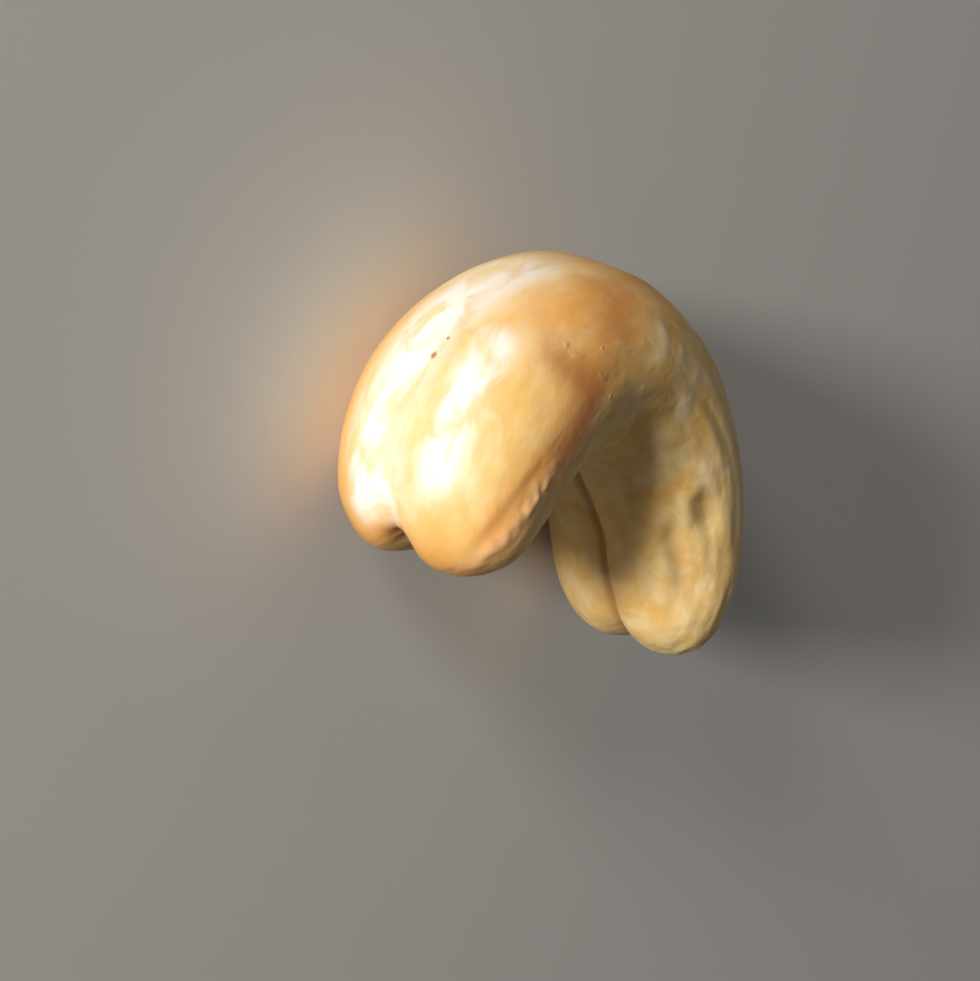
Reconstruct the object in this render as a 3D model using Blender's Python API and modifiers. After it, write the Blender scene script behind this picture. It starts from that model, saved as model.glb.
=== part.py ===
# A whole cashew kernel, lying on its flank: two lobes joined along a seam, bent into a deep hook.
#
# The kernel is modelled around a curved spine that runs from the near tip, the fuller one, to the
# far tip, the slimmer one. It then lies down on a narrow flat that follows the arch on its lower flank.
# Units are metres, +Z is up, +X runs from the near limb to the far limb and +Y to the convex back.
# The origin is under the middle of the kernel, on the surface that it lies on.

import math

import bmesh
import bpy
import numpy as np
from mathutils import Matrix, Vector

# Driving sizes, each given at five places evenly spaced along the spine, near tip first
SPINE_LENGTH = 0.0346
SPINE_HEADING = (105.0, 54.0, -6.0, -55.0, -87.0)             # degrees from +X
HALF_DEPTH = (0.00486, 0.00492, 0.00484, 0.00466, 0.00442)    # from the spine to the back or the belly
HALF_WIDTH = (0.00692, 0.00588, 0.00539, 0.00557, 0.00651)    # from the spine to either flank
SIDE_SHIFT = (0.00060, 0.00003, 0.0, 0.00051, 0.00157)        # of the spine towards the upper flank
TIP_BLUNTNESS = 3.2          # 2 is a round tip, more is a blunter one

# The seam where the two lobes meet
SEAM_HALF_WIDTH = 0.18       # share of the kernel's half width
BACK_SEAM_DEPTH = 0.03       # share of the kernel's half depth
BELLY_SEAM_DEPTH = 0.10
NEAR_TIP_NOTCH = 0.00080     # how far the seam stays back from the ends of the lobes
FAR_TIP_NOTCH = 0.00046
NOTCH_START = 0.75           # share of the way from the middle to a tip

# How it lies
LEAN_ABOUT_Y = 2.9           # degrees
LEAN_ABOUT_X = 2.1
FLAT_DEPTH = 0.00012         # how far the surface cuts into the lowest skin

# Mesh
SPINE_STEPS = 400
CELLS_ALONG = 22
CELLS_PER_SIDE = 8
SUBDIVISION_LEVEL = 1
CAGE_SWELL = 1.011           # rounding pulls the skin of the cage in by about this much
CUTTER_SIZE = 0.06

KERNEL_COLOUR = (0.72, 0.50, 0.25, 1.0)
KERNEL_ROUGHNESS = 0.42


def clear_scene():
    for thing in list(bpy.data.objects):
        bpy.data.objects.remove(thing, do_unlink=True)


def new_collection(name):
    collection = bpy.data.collections.new(name)
    bpy.context.scene.collection.children.link(collection)
    return collection


def kernel_material():
    material = bpy.data.materials.new("kernel")
    material.use_nodes = True
    shader = material.node_tree.nodes["Principled BSDF"]
    shader.inputs["Base Color"].default_value = KERNEL_COLOUR
    shader.inputs["Roughness"].default_value = KERNEL_ROUGHNESS
    shader.inputs["Metallic"].default_value = 0.0
    material.diffuse_color = KERNEL_COLOUR
    return material


def smooth_curve(values):
    """The smooth curve through values at even places, from -1 at the near tip to 1 at the far tip."""
    places = np.linspace(-1.0, 1.0, len(values))
    return np.polynomial.Polynomial.fit(places, values, len(values) - 1)


HEADING = smooth_curve(SPINE_HEADING)
DEPTH = smooth_curve(HALF_DEPTH)
WIDTH = smooth_curve(HALF_WIDTH)
SHIFT = smooth_curve(SIDE_SHIFT)


def spine_path():
    """Places along the spine, and the x and y that its heading leads to."""
    place = np.linspace(-1.0, 1.0, SPINE_STEPS + 1)
    heading = np.radians(HEADING((place[1:] + place[:-1]) / 2))
    step = SPINE_LENGTH / SPINE_STEPS
    x = np.concatenate([[0.0], np.cumsum(np.cos(heading) * step)])
    y = np.concatenate([[0.0], np.cumsum(np.sin(heading) * step)])
    return place, x, y


def notch(place, length):
    """How far the seam stays back from a tip, at this share of the way to it."""
    return length * max(0.0, (place - NOTCH_START) / (1 - NOTCH_START)) ** 2


def kernel_point(direction, spine):
    """The point of the kernel's skin for a direction from the centre of a ball.

    The ball's x runs along the spine, its y to the back and its z to the upper flank.
    """
    ring = math.hypot(direction.y, direction.z)
    blunt = (abs(direction.x) ** TIP_BLUNTNESS + ring ** TIP_BLUNTNESS) ** (-1 / TIP_BLUNTNESS)
    place = direction.x * blunt
    to_back = direction.y * blunt
    to_flank = direction.z * blunt

    seam = math.exp(-(to_flank / SEAM_HALF_WIDTH) ** 2)
    pull = notch(-place, NEAR_TIP_NOTCH) - notch(place, FAR_TIP_NOTCH)
    station = place + seam * pull / (SPINE_LENGTH / 2)
    seam_depth = BACK_SEAM_DEPTH if to_back > 0 else BELLY_SEAM_DEPTH
    groove = 1 - seam * seam_depth * abs(to_back)

    heading = math.radians(HEADING(station))
    back = Vector((-math.sin(heading), math.cos(heading), 0.0))
    middle = Vector((np.interp(station, spine[0], spine[1]), np.interp(station, spine[0], spine[2]), 0.0))
    side = SHIFT(place) + WIDTH(place) * CAGE_SWELL * to_flank
    return middle + back * (DEPTH(place) * CAGE_SWELL * to_back * groove) + Vector((0.0, 0.0, side))


def ball_cage():
    """A cube cut into a grid, with more cells along X than around it."""
    cage = bmesh.new()
    bmesh.ops.create_cube(cage, size=2.0)
    lengthwise = [edge for edge in cage.edges if abs(edge.verts[0].co.x - edge.verts[1].co.x) > 1]
    bmesh.ops.subdivide_edges(cage, edges=lengthwise, cuts=CELLS_ALONG - 1)
    across = [edge for edge in cage.edges if abs(edge.verts[0].co.x - edge.verts[1].co.x) < 1e-6]
    bmesh.ops.subdivide_edges(cage, edges=across, cuts=CELLS_PER_SIDE - 1, use_grid_fill=True)
    return cage


def kernel_cage():
    cage = ball_cage()
    spine = spine_path()
    for vert in cage.verts:
        even = Vector([math.tan(math.pi / 4 * value) for value in vert.co])
        vert.co = kernel_point(even.normalized(), spine)
    lean = Matrix.Rotation(math.radians(LEAN_ABOUT_X), 4, "X") @ Matrix.Rotation(math.radians(LEAN_ABOUT_Y), 4, "Y")
    bmesh.ops.transform(cage, matrix=lean, verts=cage.verts)
    bmesh.ops.recalc_face_normals(cage, faces=cage.faces)
    return cage


def set_on_surface(kernel):
    """Moves the mesh so that its base is FLAT_DEPTH under the origin and its box is centred over it."""
    graph = bpy.context.evaluated_depsgraph_get()
    shape = kernel.evaluated_get(graph).to_mesh()
    corners = np.array([vert.co for vert in shape.vertices])
    low, high = corners.min(axis=0), corners.max(axis=0)
    kernel.evaluated_get(graph).to_mesh_clear()
    middle = (low + high) / 2
    kernel.data.transform(Matrix.Translation((-middle[0], -middle[1], -low[2] - FLAT_DEPTH)))


def cashew_kernel(collection, cutters):
    cage = kernel_cage()
    mesh = bpy.data.meshes.new("cashew_kernel")
    cage.to_mesh(mesh)
    cage.free()
    mesh.shade_smooth()
    mesh.materials.append(kernel_material())
    kernel = bpy.data.objects.new("cashew_kernel", mesh)
    collection.objects.link(kernel)

    rounding = kernel.modifiers.new("rounding", "SUBSURF")
    rounding.levels = SUBDIVISION_LEVEL
    rounding.render_levels = SUBDIVISION_LEVEL
    set_on_surface(kernel)

    flat = kernel.modifiers.new("resting_flat", "BOOLEAN")
    flat.operation = "DIFFERENCE"
    flat.object = surface_cutter(cutters)
    return kernel


def surface_cutter(cutters):
    """A block whose top is the surface that the kernel lies on."""
    block = bmesh.new()
    bmesh.ops.create_cube(block, size=CUTTER_SIZE)
    bmesh.ops.translate(block, vec=(0.0, 0.0, -CUTTER_SIZE / 2), verts=block.verts)
    mesh = bpy.data.meshes.new("surface_cutter")
    block.to_mesh(mesh)
    block.free()
    cutter = bpy.data.objects.new("surface_cutter", mesh)
    cutter.hide_render = True
    cutter.display_type = "WIRE"
    cutters.objects.link(cutter)
    return cutter


clear_scene()
cashew_kernel(new_collection("cashew_nut"), new_collection("cutters"))
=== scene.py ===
# A whole cashew kernel lying on its flank, its fuller lobe tip towards the camera.
import math
import bmesh
import bpy
import numpy as np
from mathutils import Matrix, Vector, noise


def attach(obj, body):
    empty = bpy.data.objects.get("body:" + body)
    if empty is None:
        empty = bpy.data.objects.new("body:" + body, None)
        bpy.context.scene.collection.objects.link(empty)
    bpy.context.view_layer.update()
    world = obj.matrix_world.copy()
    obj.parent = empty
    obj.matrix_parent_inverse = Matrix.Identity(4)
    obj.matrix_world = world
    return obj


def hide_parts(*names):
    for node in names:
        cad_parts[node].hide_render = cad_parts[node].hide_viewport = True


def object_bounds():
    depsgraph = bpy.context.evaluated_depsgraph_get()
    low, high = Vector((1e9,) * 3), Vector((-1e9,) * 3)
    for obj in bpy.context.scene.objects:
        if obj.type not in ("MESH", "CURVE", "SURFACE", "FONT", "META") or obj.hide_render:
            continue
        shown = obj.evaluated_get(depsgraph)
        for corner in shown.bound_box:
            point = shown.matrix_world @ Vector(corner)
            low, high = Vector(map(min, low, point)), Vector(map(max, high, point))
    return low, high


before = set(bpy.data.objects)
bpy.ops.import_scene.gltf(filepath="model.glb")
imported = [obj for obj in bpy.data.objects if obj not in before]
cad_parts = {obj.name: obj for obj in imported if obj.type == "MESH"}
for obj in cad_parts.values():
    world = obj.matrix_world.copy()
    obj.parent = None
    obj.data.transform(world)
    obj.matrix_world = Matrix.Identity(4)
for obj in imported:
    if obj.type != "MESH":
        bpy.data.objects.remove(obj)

cadBox = [list(corner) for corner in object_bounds()]
scene = bpy.context.scene
mm = 0.001
print("frame loaded, CAD box in mm", [[round(value / mm, 2) for value in corner] for corner in cadBox])


# Lengths in mm, angles in degrees, colours linear. A place on the skin runs from -1 at the near tip to 1 at
# the far tip; around it, 0 is the back, 90 the upper flank and 180 the belly.
kernelValues = {
    # these four hold five values each, evenly spaced along the spine from the near tip
    "heading": (105.0, 54.0, -6.0, -55.0, -87.0),       # from +X
    "halfDepth": (4.86, 4.92, 4.84, 4.66, 4.42),        # from the spine to the back or the belly
    "halfWidth": (6.92, 5.88, 5.39, 5.57, 6.51),        # from the spine to either flank
    "sideShift": (0.60, 0.03, 0.00, 0.51, 1.57),        # of the spine towards the upper flank
    "spineLength": 34.6,
    "straightSize": (17.2, 4.8, 5.8),                   # half sizes of the skin when laid out straight
    "tipBluntness": 3.2,
    "seamReach": 0.18,                                  # share of the half width
    "nearTipNotch": 0.80,
    "farTipNotch": 0.46,
    "notchStart": 0.75,                                 # share of the way to the tip
    "leanAboutY": 2.9,
    "leanAboutX": 2.1,
    "sinkDepth": 0.12,                                  # how much of the lower flank is flattened
    "cellsAlong": 110,                                  # before every cell is cut in four
    "cellsPerSide": 44,

    # random unevenness: size, stretch along the spine, height, seed
    "lumps": ((4.5, 1.8, 0.15, 1.3), (1.9, 1.8, 0.055, 4.4), (0.9, 1.6, 0.022, 7.5)),
    "streaks": (0.70, 5.0, 0.085, 21.0),                # lengthwise, on the arch and the far lobe
    "seamWander": (4.0, 1.0, 0.30, 8.0),
    "ridgeWrinkles": (0.50, 0.8, 0.15, 5.0),
    "streakStart": (-0.35, 0.25),                       # place, and how far they take to appear
    "streakSides": (0.5, 0.25),                         # share of them at the back, and on the lower flank

    # seams: half width and depth of each groove, for the lines with their offset first
    "backEdge": 0.08,                                   # how soon the back turns into the belly
    "backValley": (0.9, 0.18),
    "backLines": ((0.0, 0.14, 0.050), (0.42, 0.12, 0.028), (-0.38, 0.12, 0.018)),
    "bellyCleft": ((0.80, 0.34), (0.20, 0.20)),         # a valley, and a line in it
    "seamDeepens": (0.2, 0.8),                          # from here towards the near tip, over this far
    "valleyShare": (0.7, 0.4),                          # of the depth, and what the near end adds
    "lineShare": (0.5, 1.0),

    # marks follow stops of (place, around); the ends of some fade
    "marks": {
        "tipPit": {"rise": -0.48, "width": 0.56, "fade": 0.2,
                   "stops": ((-0.962, 0), (-0.985, 3), (-1.0, 0))},
        "tipBulge": {"rise": 0.26, "width": 1.5, "stops": ((-0.88, 74), (-0.93, 58))},
        "tipNick": {"rise": -0.04, "width": 0.16, "stops": ((-0.965, 49), (-0.955, 51))},
        "marginGroove": {"rise": -0.015, "width": 0.24, "fade": 0.3,
                         "stops": ((-0.50, 82), (-0.62, 78), (-0.68, 74), (-0.75, 69), (-0.80, 65),
                                   (-0.86, 59), (-0.92, 51))},
        "marginRidge": {"rise": 0.09, "width": 0.34, "fade": 0.25,
                        "stops": ((-0.60, 86), (-0.69, 84), (-0.74, 82), (-0.79, 80), (-0.84, 75),
                                  (-0.88, 69), (-0.93, 61), (-0.955, 54))},
        "lowMargin": {"rise": 0.10, "width": 0.45, "fade": 0.3,
                      "stops": ((-0.55, -98), (-0.72, -92), (-0.86, -84))},
        "farMargin": {"rise": 0.09, "width": 0.45, "fade": 0.3,
                      "stops": ((0.55, -108), (0.72, -104), (0.88, -98))},
        "dimple": {"rise": -0.30, "width": 0.74, "stops": ((0.444, 111.5), (0.49, 112.5))},
        "dimpleBank": {"rise": 0.07, "width": 0.40, "fade": 0.2,
                       "stops": ((0.37, 121), (0.44, 123), (0.51, 124))},
        "furrow": {"rise": -0.22, "width": 0.42, "fade": 0.2,
                   "stops": ((0.48, 134), (0.57, 137), (0.63, 134), (0.70, 131), (0.80, 126))},
        "furrowBank": {"rise": 0.06, "width": 0.55, "fade": 0.3,
                       "stops": ((0.50, 124), (0.62, 123), (0.72, 119))},
        "streakA": {"rise": 0.045, "width": 0.50, "fade": 0.5,
                    "stops": ((-0.11, 54), (-0.125, 62), (-0.16, 80))},
        "streakB": {"rise": 0.030, "width": 0.40, "fade": 0.5, "stops": ((-0.05, 66), (-0.067, 78))},
        "streakC": {"rise": 0.035, "width": 0.45, "fade": 0.5, "stops": ((0.04, 70), (0.03, 86))},
        "streakD": {"rise": 0.050, "width": 0.50, "fade": 0.5,
                    "stops": ((-0.02, 86), (0.03, 95), (0.07, 103))},
        "streakE": {"rise": 0.060, "width": 0.50, "fade": 0.5,
                    "stops": ((0.24, 98), (0.30, 105), (0.37, 111))},
    },

    # where the skin is lighter, golden or roasted, and where highlight and shade are painted on; each point
    # takes the strongest of a tint's paths
    "tints": {
        # partly the back's own lighter skin and partly a painted highlight along the crests of the near
        # lobe's back
        "paleAndHighlight": ({"width": 1.5, "amount": 1.6,
                  "stops": ((-0.86, -14), (-0.81, -15), (-0.68, -18), (-0.57, -16), (-0.47, -10),
                            (-0.38, -3), (-0.33, 0))},
                 {"width": 1.0, "amount": 1.3, "stops": ((-0.78, 24), (-0.64, 23), (-0.52, 23))}),
        # the first golden path is painted shade, darkening the near lobe's upper flank towards the
        # terminator; the second is the arch's own golden top
        "golden": ({"width": 1.6, "stops": ((-0.50, 62), (-0.61, 64), (-0.71, 62), (-0.80, 56), (-0.90, 47))},
                   {"width": 1.9, "stops": ((-0.20, -35), (-0.17, -10), (-0.13, 12), (-0.06, 35))}),
        "toastAndTerminatorShade": ({"width": 2.3,
                   "stops": ((-0.38, 38), (-0.32, 44), (-0.27, 50), (-0.20, 40), (-0.17, 22), (-0.15, 5))},
                  {"width": 1.5, "amount": 0.7,
                   "stops": ((-0.16, -12), (-0.11, 8), (-0.08, 24), (-0.05, 40))},
                  # painted shade: this path paints the near lobe's upper flank a darker tan next to the
                  # terminator
                  {"width": 1.15, "fade": 0.1,
                   "stops": ((-0.40, 68), (-0.50, 77), (-0.60, 80), (-0.70, 77), (-0.80, 71),
                             (-0.90, 62))}),
        "brown": ({"width": 0.9, "stops": ((-0.455, 46), (-0.47, 54), (-0.455, 64))},),
        # painted shade: red-brown along the near lobe's terminator, and a thin painted shade line in the
        # margin groove
        "marginShade": ({"width": 0.80, "fade": 0.2,
                     "stops": ((-0.41, 76), (-0.47, 82), (-0.55, 86), (-0.62, 86), (-0.70, 83))},
                    {"width": 0.26, "fade": 0.3, "amount": 0.55,
                     "stops": ((-0.62, 78), (-0.68, 74), (-0.75, 69), (-0.80, 65), (-0.86, 59),
                               (-0.92, 51))}),
        "terracotta": ({"width": 1.5, "stops": ((-0.24, 38), (-0.28, 52), (-0.34, 64), (-0.38, 72))},),
        # orange round the near tip, partly its own colour and partly painted shade at its rim
        "tipOrangeAndRimShade": ({"width": 0.95,
                     "stops": ((-0.92, -48), (-0.95, -22), (-0.965, 0), (-0.95, 25), (-0.955, 45),
                               (-0.965, 68))},),
    },
    "seamTint": {"width": 0.45, "start": -0.93, "run": 0.12},
    # the lower flank is painted tan, partly as roasting and partly as painted shade on the side towards the
    # floor
    "lowFlankTint": {"start": 0.55, "run": 0.4, "slant": 0.15},
    "bellyLineWidth": 0.24,
    "furrowShade": 0.6,                                 # beside that of the dimple

    # ivory also paints the highlights; red, olive and dark paint shade, and tan and orange paint shade in
    # part
    "colours": {
        "ivory": (0.96, 0.90, 0.81), "butter": (0.93, 0.77, 0.49), "cream": (0.87, 0.64, 0.28),
        "blush": (0.90, 0.66, 0.50), "pink": (0.80, 0.45, 0.26), "golden": (0.81, 0.50, 0.145),
        "tan": (0.82, 0.41, 0.11), "orange": (0.78, 0.37, 0.09), "terracotta": (0.62, 0.27, 0.075),
        "brown": (0.42, 0.155, 0.045), "red": (0.33, 0.105, 0.034), "olive": (0.30, 0.165, 0.055),
        "dark": (0.20, 0.06, 0.022),
    },
    # random patterns on the skin laid out straight; levels are (position in the noise, level there)
    "patterns": {
        "ground": {"scale": 0.38, "detail": 3.0, "stretch": 0.8, "distortion": 0.2},
        "lighter": {"scale": 0.75, "detail": 2.5, "stretch": 0.7, "distortion": 0.5,
                    "shift": (7.0, 0.0, 0.0), "levels": ((0.45, 0.0), (0.62, 0.40))},
        "deeper": {"scale": 0.90, "detail": 2.5, "stretch": 0.65, "distortion": 0.5,
                   "shift": (0.0, 13.0, 0.0), "levels": ((0.49, 0.0), (0.64, 0.34))},
        "mottle": {"scale": 0.80, "detail": 4.0, "stretch": 0.7, "levels": ((0.35, 0.60), (0.60, 1.0))},
        "dapple": {"scale": 0.90, "detail": 2.5, "stretch": 0.7, "distortion": 0.6,
                   "shift": (0.0, 0.0, 5.0), "levels": ((0.38, 0.30), (0.54, 1.0))},
        "patchy": {"scale": 0.80, "detail": 2.5, "stretch": 0.7, "distortion": 0.6,
                   "shift": (3.0, 9.0, 0.0), "levels": ((0.42, 0.15), (0.58, 1.0))},
        "roughness": {"scale": 1.4, "detail": 3.0, "levels": ((0.30, 0.42), (0.70, 0.56))},
        "creases": {"scale": 2.8, "detail": 4.0, "stretch": 0.6},
        "softDents": {"scale": 1.2, "detail": 1.5, "stretch": 0.7, "distortion": 0.4},
    },
    "groundColours": ((0.36, "cream"), (0.62, "golden")),
    "washes": (("lighter", "butter"), ("deeper", "golden")),
    # from the ground up: mask, pattern within it, amount, colour
    # the streak coat paints highlight and the coat for the back's crests partly does; the golden, roasted,
    # lower flank and tip coats paint shade in part, and the margin, dimple and notch coats paint shade
    "coats": (
        ("paleAndHighlight", "dapple", 1.0, "ivory"), ("golden", "patchy", 0.65, "golden"),
        ("toastAndTerminatorShade", "mottle", 1.0, "tan"), ("terracotta", "mottle", 0.95, "terracotta"),
        ("streaks", None, 0.35, "ivory"), ("brown", "mottle", 0.70, "brown"),
        ("lowFlank", None, 0.75, "tan"), ("seamTint", None, 0.40, "blush"),
        ("tipOrangeAndRimShade", None, 0.85, "orange"), ("marginShade", None, 0.80, "red"),
        ("ridge", None, 0.62, "pink"), ("dentShade", None, 0.60, "olive"),
        ("bellyLine", None, 0.60, "brown"), ("pitShade", None, 0.85, "dark"),
    ),
    # small round marks: place, around, radius; an edge holds (distance in diameters, level there)
    "specks": ((-0.580, -2.0, 0.13), (-0.540, -0.5, 0.07), (-0.615, 81.0, 0.09), (0.32, 28.0, 0.09),
               (0.71, -40.0, 0.10)),
    "speckEdge": ((0.25, 0.9), (0.65, 0.0)),
    "pimples": ((-0.432, 49.0, 0.13), (-0.39, 87.0, 0.13), (-0.333, 105.0, 0.11), (-0.36, 62.0, 0.10),
                (0.15, 60.0, 0.12)),
    "pimpleEdge": ((0.0, 1.0), (0.6, 0.0)),
    "crescents": ((-0.418, 55.0, 0.36), (-0.388, 73.0, 0.30)),
    "crescentEdge": ((0.25, 1.0), (0.60, 0.0)),
    "crescentShift": (0.006, -1.2),
    # strength and height of the relief that the material adds
    "bumps": {"creases": (0.24, 0.10), "softDents": (0.50, 0.12), "pimples": (0.45, 0.10)},
    "specular": 0.34,
    "subsurface": 0.25,
    "subsurfaceRadius": (1.0, 0.45, 0.2),
    "subsurfaceDepth": 1.0,
}


# 0 up to start, then rising to 1 over the run
def fadeIn(value, start, run):
    return np.clip((value - start) / run, 0, 1)


# 1 on a line, falling off over the width on either side of it
def bell(distance, width):
    return np.exp(-(distance / width) ** 2)


def alongSpine(values):
    places = np.linspace(-1.0, 1.0, len(values))
    return np.polynomial.Polynomial.fit(places, values, len(values) - 1)


headingAt = alongSpine(kernelValues["heading"])
depthAt = alongSpine(kernelValues["halfDepth"])
widthAt = alongSpine(kernelValues["halfWidth"])
shiftAt = alongSpine(kernelValues["sideShift"])


def spinePath(steps=2000):
    place = np.linspace(-1.0, 1.0, steps + 1)
    heading = np.radians(headingAt((place[1:] + place[:-1]) / 2))
    step = kernelValues["spineLength"] / steps
    x = np.concatenate([[0.0], np.cumsum(np.cos(heading) * step)])
    y = np.concatenate([[0.0], np.cumsum(np.sin(heading) * step)])
    return place, x, y


spine = spinePath()


def tipPull(place, length):
    start = kernelValues["notchStart"]
    return length * np.clip((place - start) / (1 - start), 0, None) ** 2


# Where a skin place is in space; the lobes' tips stand further out than the seam between them
def skinPoint(place, toBack, toFlank):
    seam = bell(toFlank, kernelValues["seamReach"])
    pull = tipPull(-place, kernelValues["nearTipNotch"]) - tipPull(place, kernelValues["farTipNotch"])
    station = place + seam * pull / (kernelValues["spineLength"] / 2)
    heading = np.radians(headingAt(station))
    back = np.stack([-np.sin(heading), np.cos(heading), np.zeros_like(heading)], axis=-1)
    middle = np.stack([np.interp(station, spine[0], spine[1]), np.interp(station, spine[0], spine[2]),
                       shiftAt(place) + widthAt(place) * toFlank], axis=-1)
    return middle + back * (depthAt(place) * toBack)[:, None]


def skinCoords(place, around):
    power = kernelValues["tipBluntness"]
    place = np.asarray(place, float)
    reach = np.clip(1 - np.abs(place) ** power, 0, None) ** (1 / power)
    angle = np.radians(np.asarray(around, float))
    return place, reach * np.cos(angle), reach * np.sin(angle)


# The skin laid out straight, so that a pattern on it can follow the bend
def straighten(place, toBack, toFlank):
    return np.stack([place, toBack, toFlank], axis=-1) * kernelValues["straightSize"]


def ballCage():
    def runAlong(edge):
        return abs(edge.verts[0].co.x - edge.verts[1].co.x)

    cage = bmesh.new()
    bmesh.ops.create_cube(cage, size=2.0)
    lengthwise = [edge for edge in cage.edges if runAlong(edge) > 1]
    bmesh.ops.subdivide_edges(cage, edges=lengthwise, cuts=kernelValues["cellsAlong"] - 1)
    across = [edge for edge in cage.edges if runAlong(edge) < 1e-6]
    bmesh.ops.subdivide_edges(cage, edges=across, cuts=kernelValues["cellsPerSide"] - 1, use_grid_fill=True)
    bmesh.ops.subdivide_edges(cage, edges=cage.edges[:], cuts=1, use_grid_fill=True)
    return cage


def moveVerts(cage, points):
    for vert, point in zip(cage.verts, points):
        vert.co = point


# Smooth random lumps on the skin laid out straight; the seed moves them to another part of the noise
def lumps(straight, size, stretch, height, seed):
    points = straight / (size * np.array([stretch, 1.0, 1.0])) + seed * np.array([1.0, 1.7, 0.6])
    return height * np.array([noise.noise(Vector(point)) for point in points])


# How close each skin point is to a mark's path: 1 on it, falling off over its width
def nearPath(skin, mark, cuts=8, fadeCurve=0.7):
    stops = np.array(mark["stops"], float)
    share = np.linspace(0, len(stops) - 1, cuts * (len(stops) - 1) + 1)
    path = skinPoint(*skinCoords(np.interp(share, range(len(stops)), stops[:, 0]),
                                 np.interp(share, range(len(stops)), stops[:, 1])))
    strength = np.ones(len(path))
    if "fade" in mark:
        fromEnd = np.minimum(share, share[-1] - share) / share[-1]
        strength = np.clip(fromEnd / mark["fade"], 0, 1) ** fadeCurve
    best = np.zeros(len(skin))
    for start, end, startStrength, endStrength in zip(path, path[1:], strength, strength[1:]):
        run = end - start
        along = np.clip((skin - start) @ run / max(run @ run, 1e-9), 0, 1)
        gap = ((skin - start - along[:, None] * run) ** 2).sum(axis=1)
        level = startStrength + along * (endStrength - startStrength)
        best = np.maximum(best, level * np.exp(-gap / mark["width"] ** 2))
    return best


print("making the kernel")
cage = ballCage()
# the cube's grid is blown up into a ball, and that into a blunt-ended kernel
ball = np.array([vert.co for vert in cage.verts])
ball = np.tan(math.pi / 4 * ball)
ball /= np.linalg.norm(ball, axis=1)[:, None]
ring = np.hypot(ball[:, 1], ball[:, 2])
power = kernelValues["tipBluntness"]
blunt = (np.abs(ball[:, 0]) ** power + ring ** power) ** (-1 / power)
place, toBack, toFlank = (ball * blunt[:, None]).T
skin = skinPoint(place, toBack, toFlank)
moveVerts(cage, skin)
bmesh.ops.recalc_face_normals(cage, faces=cage.faces)
cage.normal_update()
outward = np.array([vert.normal for vert in cage.verts])
upward = np.sin(np.arctan2(toFlank, toBack))            # 1 on the upper flank, -1 on the lower one
straight = straighten(place, toBack, toFlank)
print("base shape done,", len(cage.faces), "faces")

rise = np.zeros(len(skin))
for values in kernelValues["lumps"]:
    rise += lumps(straight, *values)
atBack, below = kernelValues["streakSides"]
onStreaks = fadeIn(place, *kernelValues["streakStart"]) * np.clip(upward + atBack, below, 1)
rise += onStreaks * lumps(straight, *kernelValues["streaks"])

# the seam wanders a little from side to side, and deepens towards the near tip
wander = lumps(straight * np.array([1.0, 0.0, 0.0]), *kernelValues["seamWander"])
fromSeam = widthAt(place) * toFlank + wander
onBack = 1 / (1 + np.exp(-toBack / kernelValues["backEdge"]))
nearEnd = fadeIn(-place, *kernelValues["seamDeepens"])
width, depth = kernelValues["backValley"]
share, added = kernelValues["valleyShare"]
rise -= depth * (share + added * nearEnd) * onBack * bell(fromSeam, width)
share, added = kernelValues["lineShare"]
for offset, width, depth in kernelValues["backLines"]:
    rise -= depth * (share + added * nearEnd) * onBack * bell(fromSeam - offset, width)
for width, depth in kernelValues["bellyCleft"]:
    rise -= depth * (1 - onBack) * bell(fromSeam, width)

near = {}
for name, mark in kernelValues["marks"].items():
    near[name] = nearPath(skin, mark)
    rise += mark["rise"] * near[name]
rise += near["marginRidge"] * lumps(straight, *kernelValues["ridgeWrinkles"])

moveVerts(cage, skin + outward * rise[:, None])
lean = (Matrix.Rotation(math.radians(kernelValues["leanAboutX"]), 4, "X")
        @ Matrix.Rotation(math.radians(kernelValues["leanAboutY"]), 4, "Y"))
bmesh.ops.transform(cage, matrix=lean, verts=cage.verts)


# Fits the mesh, in mm, to the CAD box in metres, with the lower flank pressed flat on the surface
def fitToBox(cage, box, sink):
    points = np.array([vert.co for vert in cage.verts])
    low, high = points.min(axis=0), points.max(axis=0)
    boxLow, boxHigh = np.array(box[0]), np.array(box[1])
    boxLow[2] -= sink * mm
    points = boxLow + (points - low) / (high - low) * (boxHigh - boxLow)
    points[:, 2] = np.maximum(points[:, 2], box[0][2])
    moveVerts(cage, points)


fitToBox(cage, cadBox, kernelValues["sinkDepth"])
kernelMesh = bpy.data.meshes.new("cashewKernel")
cage.to_mesh(kernelMesh)
cage.free()
kernelMesh.shade_smooth()
kernel = bpy.data.objects.new("cashewKernel", kernelMesh)
scene.collection.objects.link(kernel)


def addMask(mesh, name, values):
    mask = mesh.attributes.new(name, "FLOAT", "POINT")
    mask.data.foreach_set("value", np.clip(values, 0, 1).astype(np.float32))


for name, paths in kernelValues["tints"].items():
    strengths = [path.get("amount", 1.0) * nearPath(skin, path) for path in paths]
    addMask(kernelMesh, name, np.max(strengths, axis=0))
seamTint, flankTint = kernelValues["seamTint"], kernelValues["lowFlankTint"]
onSeam = onBack * bell(fromSeam, seamTint["width"])
addMask(kernelMesh, "seamTint", onSeam * fadeIn(place, seamTint["start"], seamTint["run"]))
# painted shade in part: the lower flank, towards the floor, is tinted tan
lowness = -upward - flankTint["slant"] * place
addMask(kernelMesh, "lowFlank", fadeIn(lowness, flankTint["start"], flankTint["run"]))
addMask(kernelMesh, "bellyLine", (1 - onBack) * bell(fromSeam, kernelValues["bellyLineWidth"]))
# painted highlight: the lengthwise streak ridges are painted lighter
addMask(kernelMesh, "streaks", sum(near[name] for name in near if name.startswith("streak")))
addMask(kernelMesh, "ridge", near["marginRidge"])
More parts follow.
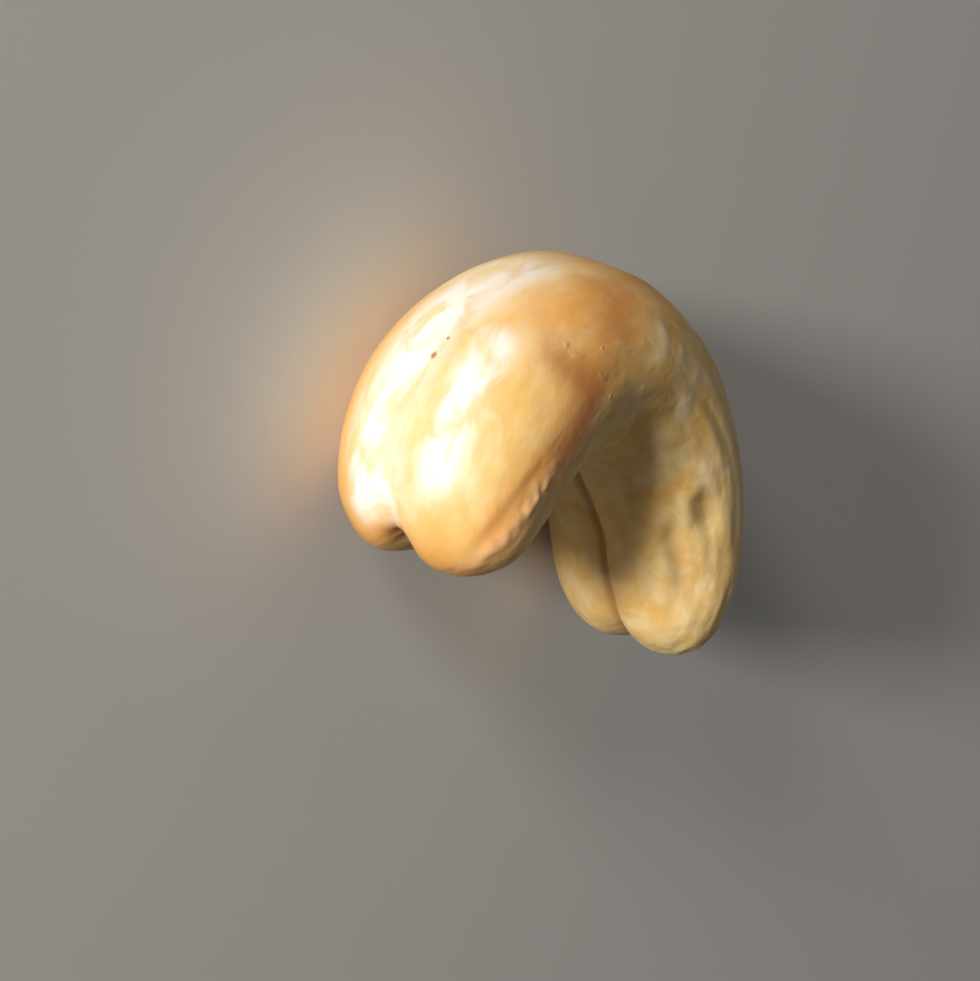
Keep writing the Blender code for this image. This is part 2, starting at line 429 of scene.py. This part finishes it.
# painted shade: the near tip's notch is painted dark in its hollow
addMask(kernelMesh, "pitShade", near["tipPit"])
# painted shade: the dimple and the furrow are painted olive-dark
addMask(kernelMesh, "dentShade", np.maximum(near["dimple"], kernelValues["furrowShade"] * near["furrow"]))
layout = kernelMesh.attributes.new("straight", "FLOAT_VECTOR", "POINT")
layout.data.foreach_set("vector", straight.astype(np.float32).ravel())
print("kernel shaped,", len(kernelMesh.polygons), "faces")


def makeKernelSkin():
    material = bpy.data.materials.new("kernelSkin")
    material.use_nodes = True
    nodes, links = material.node_tree.nodes, material.node_tree.links
    shader = nodes["Principled BSDF"]
    colours = kernelValues["colours"]

    def attribute(name, output):
        node = nodes.new("ShaderNodeAttribute")
        node.attribute_name = name
        return node.outputs[output]

    straightCoords = attribute("straight", "Vector")

    def pattern(name):
        values = kernelValues["patterns"][name]
        mapping = nodes.new("ShaderNodeMapping")
        mapping.inputs["Scale"].default_value = (values.get("stretch", 1.0), 1.0, 1.0)
        mapping.inputs["Location"].default_value = values.get("shift", (0.0, 0.0, 0.0))
        links.new(straightCoords, mapping.inputs["Vector"])
        node = nodes.new("ShaderNodeTexNoise")
        node.inputs["Scale"].default_value = values["scale"]
        node.inputs["Detail"].default_value = values["detail"]
        node.inputs["Distortion"].default_value = values.get("distortion", 0.0)
        links.new(mapping.outputs["Vector"], node.inputs["Vector"])
        if "levels" in values:
            return ramp(node.outputs["Fac"], values["levels"])
        return node.outputs["Fac"]

    # from one (position, colour or level) to another
    def ramp(value, stops):
        node = nodes.new("ShaderNodeValToRGB")
        for element, (position, colour) in zip(node.color_ramp.elements, stops):
            element.position = position
            element.color = (*np.broadcast_to(colour, 3), 1.0)
        links.new(value, node.inputs["Fac"])
        return node.outputs["Color"]

    def mix(amount, under, over):
        node = nodes.new("ShaderNodeMix")
        node.data_type = "RGBA"
        links.new(amount, node.inputs[0])
        links.new(under, node.inputs[6])
        node.inputs[7].default_value = (*over, 1.0)
        return node.outputs[2]

    def calculate(operation, first, second):
        node = nodes.new("ShaderNodeMath")
        node.operation = operation
        links.new(first, node.inputs[0])
        if isinstance(second, float):
            node.inputs[1].default_value = second
        else:
            links.new(second, node.inputs[1])
        return node.outputs[0]

    # a small round mark; half way along its ramp is its radius
    def roundSpot(spotPlace, spotAround, radius, edge):
        gap = nodes.new("ShaderNodeVectorMath")
        gap.operation = "DISTANCE"
        links.new(straightCoords, gap.inputs[0])
        gap.inputs[1].default_value = straighten(*skinCoords([spotPlace], [spotAround]))[0]
        return ramp(calculate("MULTIPLY", gap.outputs["Value"], 0.5 / radius), edge)

    def bump(name, height, normal=None):
        strength, distance = kernelValues["bumps"][name]
        node = nodes.new("ShaderNodeBump")
        node.inputs["Strength"].default_value = strength
        node.inputs["Distance"].default_value = distance * mm
        links.new(height, node.inputs["Height"])
        if normal is not None:
            links.new(normal, node.inputs["Normal"])
        return node.outputs["Normal"]

    groundStops = [(position, colours[name]) for position, name in kernelValues["groundColours"]]
    colour = ramp(pattern("ground"), groundStops)
    for patternName, colourName in kernelValues["washes"]:
        colour = mix(pattern(patternName), colour, colours[colourName])
    within = {name: pattern(name) for name in ("dapple", "patchy", "mottle")}
    for maskName, patternName, amount, colourName in kernelValues["coats"]:
        share = attribute(maskName, "Fac")
        if patternName:
            share = calculate("MULTIPLY", share, within[patternName])
        colour = mix(calculate("MULTIPLY", share, amount), colour, colours[colourName])
    for speck in kernelValues["specks"]:
        colour = mix(roundSpot(*speck, kernelValues["speckEdge"]), colour, colours["brown"])
    links.new(colour, shader.inputs["Base Color"])

    links.new(pattern("roughness"), shader.inputs["Roughness"])
    shader.inputs["Specular IOR Level"].default_value = kernelValues["specular"]
    shader.inputs["Subsurface Weight"].default_value = kernelValues["subsurface"]
    shader.inputs["Subsurface Radius"].default_value = kernelValues["subsurfaceRadius"]
    shader.inputs["Subsurface Scale"].default_value = kernelValues["subsurfaceDepth"] * mm

    raised = [roundSpot(*pimple, kernelValues["pimpleEdge"]) for pimple in kernelValues["pimples"]]
    placeShift, aroundShift = kernelValues["crescentShift"]
    edge = kernelValues["crescentEdge"]
    for spotPlace, spotAround, radius in kernelValues["crescents"]:
        # a spot less a shifted copy of it leaves a crescent
        spot = roundSpot(spotPlace, spotAround, radius, edge)
        shifted = roundSpot(spotPlace + placeShift, spotAround + aroundShift, radius, edge)
        raised.append(calculate("SUBTRACT", spot, shifted))
    height = raised[0]
    for other in raised[1:]:
        height = calculate("MAXIMUM", height, other)
    normal = bump("creases", pattern("creases"))
    normal = bump("softDents", pattern("softDents"), normal)
    normal = bump("pimples", height, normal)
    links.new(normal, shader.inputs["Normal"])
    return material


kernelMesh.materials.append(makeKernelSkin())
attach(kernel, "root")
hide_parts("cashew_kernel")
print("kernel finished")


studioValues = {
    "floorColour": (0.76, 0.755, 0.74),
    "floorRoughness": 0.85,
    "floorSize": 2.0,
    "worldColour": (1.0, 0.95, 0.87),
    "worldStrength": 0.071,
    "aim": (0.0, 0.0, 5.0),                             # in mm, where the lights point
    # each light: the direction it shines from, its distance and size in metres, power and colour
    "lights": {
        "key": {"azimuth": 184.0, "elevation": 9.0, "distance": 0.50, "size": 0.085, "power": 2.45,
                "colour": (1.0, 0.96, 0.90)},
        "side": {"azimuth": 162.0, "elevation": 14.0, "distance": 0.50, "size": 0.10, "power": 0.70,
                 "colour": (1.0, 0.95, 0.88)},
        "back": {"azimuth": 5.0, "elevation": 12.0, "distance": 0.25, "size": 0.16, "power": 0.022,
                 "colour": (1.0, 0.95, 0.88)},
        "top": {"azimuth": 60.0, "elevation": 75.0, "distance": 0.25, "size": 0.20, "power": 0.015,
                "colour": (1.0, 0.97, 0.92)},
    },
}


def addFloor():
    ground = bmesh.new()
    bmesh.ops.create_grid(ground, x_segments=1, y_segments=1, size=studioValues["floorSize"] / 2)
    mesh = bpy.data.meshes.new("studioFloor")
    ground.to_mesh(mesh)
    ground.free()
    floor = bpy.data.objects.new("studioFloor", mesh)
    scene.collection.objects.link(floor)
    material = bpy.data.materials.new("paleFloor")
    material.use_nodes = True
    shader = material.node_tree.nodes["Principled BSDF"]
    shader.inputs["Base Color"].default_value = (*studioValues["floorColour"], 1.0)
    shader.inputs["Roughness"].default_value = studioValues["floorRoughness"]
    mesh.materials.append(material)


def directionTo(azimuth, elevation):
    azimuth, elevation = math.radians(azimuth), math.radians(elevation)
    return Vector((math.cos(azimuth) * math.cos(elevation), math.sin(azimuth) * math.cos(elevation),
                   math.sin(elevation)))


def addSoftbox(name, values, aim):
    data = bpy.data.lights.new(name, "AREA")
    data.size = values["size"]
    data.energy = values["power"]
    data.color = values["colour"]
    softbox = bpy.data.objects.new(name, data)
    away = directionTo(values["azimuth"], values["elevation"])
    softbox.location = aim + away * values["distance"]
    softbox.rotation_euler = away.to_track_quat("Z", "Y").to_euler()
    scene.collection.objects.link(softbox)


addFloor()
aim = Vector([value * mm for value in studioValues["aim"]])
for name, values in studioValues["lights"].items():
    addSoftbox(name, values, aim)
world = bpy.data.worlds.new("studioWorld")
world.use_nodes = True
backdrop = world.node_tree.nodes["Background"]
backdrop.inputs["Color"].default_value = (*studioValues["worldColour"], 1.0)
backdrop.inputs["Strength"].default_value = studioValues["worldStrength"]
scene.world = world
scene.view_settings.view_transform = "Standard"
print("studio lit")


# Angles in degrees, lengths in mm; the roll turns the picture as the photographer's view has it
photoView = {
    "aim": (-5.11, -3.50, 5.63),
    "azimuth": -177.29,
    "elevation": 36.98,
    "distance": 106.93,
    "roll": 104.72,
    "lens": 85.0,
    "sensor": 36.0,
    "clipStart": 1.0,
}


def addCamera():
    data = bpy.data.cameras.new("photoCamera")
    data.lens, data.sensor_width = photoView["lens"], photoView["sensor"]
    data.clip_start = photoView["clipStart"] * mm
    camera = bpy.data.objects.new("photoCamera", data)
    away = directionTo(photoView["azimuth"], photoView["elevation"])
    camera.location = (Vector(photoView["aim"]) + away * photoView["distance"]) * mm
    level = away.to_track_quat("Z", "Y")
    roll = Matrix.Rotation(math.radians(photoView["roll"]), 3, "Z").to_quaternion()
    camera.rotation_euler = (level @ roll).to_euler()
    scene.collection.objects.link(camera)
    scene.camera = camera


addCamera()
